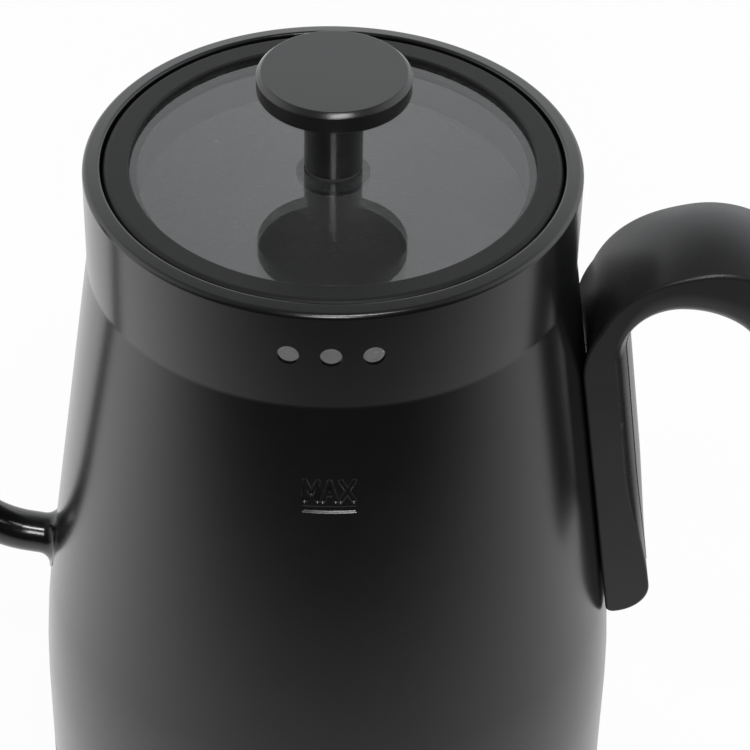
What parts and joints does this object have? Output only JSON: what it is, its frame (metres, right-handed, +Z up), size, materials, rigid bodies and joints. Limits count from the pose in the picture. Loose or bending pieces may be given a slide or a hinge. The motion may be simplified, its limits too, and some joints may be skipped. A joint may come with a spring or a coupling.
{
  "type": "gooseneck kettle",
  "caption": "Matte black gooseneck kettle: conical steel body, thin curved spout, open J-shaped handle, lift-off glass lid with a round knob, electric heater in the base.",
  "frame": {"origin": "on the kettle's axis, in the plane of its foot ring, at the mouth of the socket guide", "axes": "+Z up, +X towards the handle, -X towards the spout, -Y towards the steam vents"},
  "size_m": [0.2304, 0.1196, 0.1846],
  "materials": {
    "black_paint": "satin",
    "steel": "satin",
    "screw_steel": "plain",
    "black_anodised": "semi-gloss",
    "plate_aluminium": "cast",
    "handle_plastic": "fine grain",
    "lid_plastic": "satin",
    "base_plastic": "fine grain",
    "silicone": "matte",
    "lead_sleeve": "matte",
    "lid_glass": "smoked, polished",
    "contact_brass": "polished"
  },
  "bodies": {
    "kettle": {"body_shell": "black_paint", "mouth_ring": "black_paint", "spout_tube": "black_paint", "spout_root": "black_paint", "vessel_floor": "steel", "handle_bracket": "steel", "floor_bosses": "steel", "temperature_probe": "steel", "probe_nut": "steel", "thermal_cutouts": "steel", "heating_element": "steel", "handle_screws": "screw_steel", "control_screws": "screw_steel", "base_screws": "screw_steel", "heat_spreader": "plate_aluminium", "handle_shell": "handle_plastic", "handle_inner_strip": "handle_plastic", "base_cover": "base_plastic", "control_housing": "base_plastic", "probe_seal": "silicone", "base_seal": "silicone", "probe_lead": "lead_sleeve", "contact_pin": "contact_brass", "contact_inner_ring": "contact_brass", "contact_outer_ring": "contact_brass", "element_pins": "contact_brass"},
    "lid": {"lid_upper_ring": "lid_plastic", "lid_lower_ring": "lid_plastic", "lid_seal": "silicone", "lid_glass": "lid_glass", "glass_gasket": "silicone", "lid_knob": "black_anodised", "knob_washer_upper": "silicone", "knob_washer_lower": "silicone", "knob_cup_washer": "steel", "knob_screw": "screw_steel"}
  },
  "joints": [
    {"name": "lid_lift", "type": "slide", "parent": "kettle", "child": "lid", "axis": [0, 0, 1], "range_m": [0, 0.06]}
  ]
}
